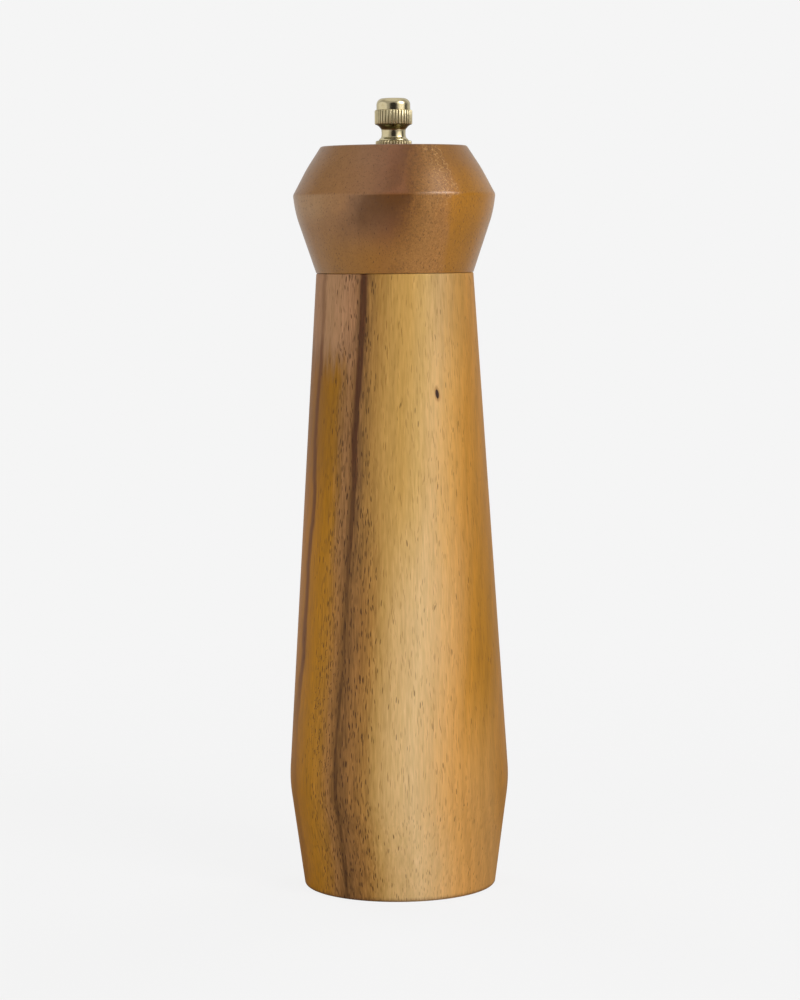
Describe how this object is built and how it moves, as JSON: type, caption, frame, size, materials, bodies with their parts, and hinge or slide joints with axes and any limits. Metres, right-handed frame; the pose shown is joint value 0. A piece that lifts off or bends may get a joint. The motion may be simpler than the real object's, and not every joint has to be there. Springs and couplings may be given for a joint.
{
  "type": "pepper mill",
  "caption": "Tall turned wooden pepper mill: a faceted dark head turns a square shaft and a ceramic grinder, and a knurled brass nut on top sets the grind.",
  "frame": {"origin": "on the mill's axis, in the plane of the base ring that it stands on", "axes": "+Z along the mill's axis, from the base to the nut; +X towards one housing screw"},
  "size_m": [0.0706, 0.0706, 0.254],
  "materials": {
    "body_wood": "acacia, turned and sanded, clear satin lacquer, grain along the axis",
    "head_wood": "darker red-brown acacia, turned and sanded, clear satin lacquer",
    "brass": "turned and polished, straight knurl",
    "shaft_aluminium": "drawn square bar, satin",
    "steel": "stainless, as stamped or wound",
    "burr_ceramic": "off-white sintered ceramic, matte",
    "black_nylon": "moulded black nylon, fine matte"
  },
  "bodies": {
    "base": {"mill_body": "body_wood", "grinder_housing": "black_nylon", "housing_screw_1": "steel", "housing_screw_2": "steel", "housing_screw_3": "steel", "stator_ring": "burr_ceramic", "stator_retaining_ring": "black_nylon"},
    "bush": {"shaft_bush": "black_nylon", "grinder_spring": "steel"},
    "shaft": {"drive_shaft": "shaft_aluminium", "rotor_burr": "burr_ceramic", "rotor_carrier": "black_nylon", "rotor_washer": "steel", "rotor_screw": "steel", "spring_washer": "steel"},
    "head": {"head_block": "head_wood", "drive_plate": "steel", "drive_plate_screw_1": "steel", "drive_plate_screw_2": "steel"},
    "nut": {"adjusting_nut": "brass"}
  },
  "joints": [
    {"name": "head_turn", "type": "hinge", "parent": "base", "child": "bush", "pos_m": [0, 0, 0.04], "axis": [0, 0, 1], "continuous": true},
    {"name": "grind_adjust", "type": "slide", "parent": "bush", "child": "shaft", "axis": [0, 0, 1], "range_m": [-0.0008, 0.0008], "deforming": ["grinder_spring"]},
    {"name": "head_lift", "type": "slide", "parent": "bush", "child": "head", "axis": [0, 0, 1], "range_m": [0, 0.07]},
    {"name": "nut_turn", "type": "hinge", "parent": "head", "child": "nut", "pos_m": [0, 0, 0.24], "axis": [0, 0, 1], "range_deg": [-360, 360]}
  ],
  "couplings": [
    {"joint": "nut_turn", "follows": "grind_adjust", "rad_per_m": -7853}
  ]
}
